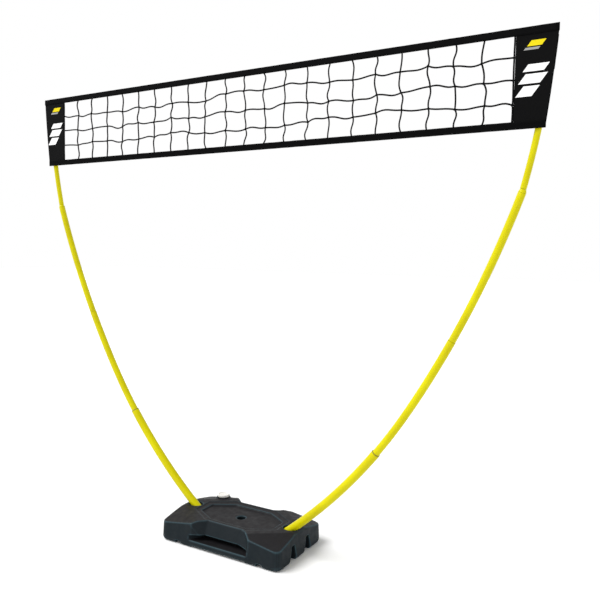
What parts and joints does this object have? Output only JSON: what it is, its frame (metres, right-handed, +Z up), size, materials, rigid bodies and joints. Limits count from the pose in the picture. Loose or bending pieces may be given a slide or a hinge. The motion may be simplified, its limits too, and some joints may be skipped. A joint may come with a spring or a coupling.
{
  "type": "volleyball net on poles",
  "caption": "Small freestanding volleyball net held between two bowed, stepped tube poles that stand in a ballast tank base.",
  "frame": {"origin": "on the ground under the middle of the tank", "axes": "+X along the net to the right-hand pole, -Y is the front (grip scoop and net side), +Z up"},
  "size_m": [1.8944, 0.276, 1.55],
  "materials": {
    "yellow_tube": "glossy yellow powder coat",
    "yellow_plug": "glossy yellow",
    "black_tank": "blow-moulded satin black",
    "olive_ring": "moulded dark yellow",
    "dark_plastic": "moulded black",
    "white_cap": "moulded white",
    "seal_rubber": "matte",
    "sand": "loose fill",
    "net_cord": "twisted cord",
    "net_tape": "woven tape",
    "net_fabric": "woven fabric"
  },
  "bodies": {
    "tank": {"base_shell": "black_tank", "ballast_fill": "sand", "left_lower_tube": "yellow_tube", "left_mouth_collar": "olive_ring", "right_lower_tube": "yellow_tube", "right_mouth_collar": "olive_ring"},
    "right_pole": {"right_lower_mid_tube": "yellow_tube", "right_tail_guide": "dark_plastic", "right_mid_coupler": "dark_plastic", "right_upper_mid_tube": "yellow_tube", "right_reducer_plug": "yellow_plug", "right_upper_tube": "yellow_tube", "right_tip_cap": "dark_plastic"},
    "left_pole": {"left_lower_mid_tube": "yellow_tube", "left_tail_guide": "dark_plastic", "left_mid_coupler": "dark_plastic", "left_upper_mid_tube": "yellow_tube", "left_reducer_plug": "yellow_plug", "left_upper_tube": "yellow_tube", "left_tip_cap": "dark_plastic"},
    "net": {"netting": "net_cord", "top_band": "net_tape", "bottom_band": "net_tape", "top_cord": "net_cord", "bottom_cord": "net_cord", "left_panel": "net_fabric", "left_pocket": "net_fabric", "left_loop": "net_fabric", "right_panel": "net_fabric", "right_pocket": "net_fabric", "right_loop": "net_fabric"},
    "seal": {"cap_seal": "seal_rubber"},
    "cap": {"filler_cap": "white_cap"}
  },
  "joints": [
    {"name": "right_pole_slide", "type": "hinge", "parent": "tank", "child": "right_pole", "pos_m": [-0.92586, 0, 1.45178], "axis": [0, 1, 0], "range_deg": [0, 4.8]},
    {"name": "left_pole_slide", "type": "hinge", "parent": "tank", "child": "left_pole", "pos_m": [0.92586, 0, 1.45178], "axis": [0, -1, 0], "range_deg": [0, 4.8]},
    {"name": "net_drop", "type": "slide", "parent": "tank", "child": "net", "axis": [0, 0, -1], "range_m": [0, 0.156]},
    {"name": "cap_lift", "type": "slide", "parent": "tank", "child": "seal", "axis": [0, 0, 1], "range_m": [0, 0.04]},
    {"name": "cap_turn", "type": "hinge", "parent": "seal", "child": "cap", "pos_m": [-0.15, 0.103, 0.09], "axis": [0, 0, 1], "range_deg": [0, 540]}
  ],
  "couplings": [
    {"joint": "left_pole_slide", "follows": "right_pole_slide", "ratio": 1},
    {"joint": "net_drop", "follows": "right_pole_slide", "m_per_rad": 1.857}
  ]
}
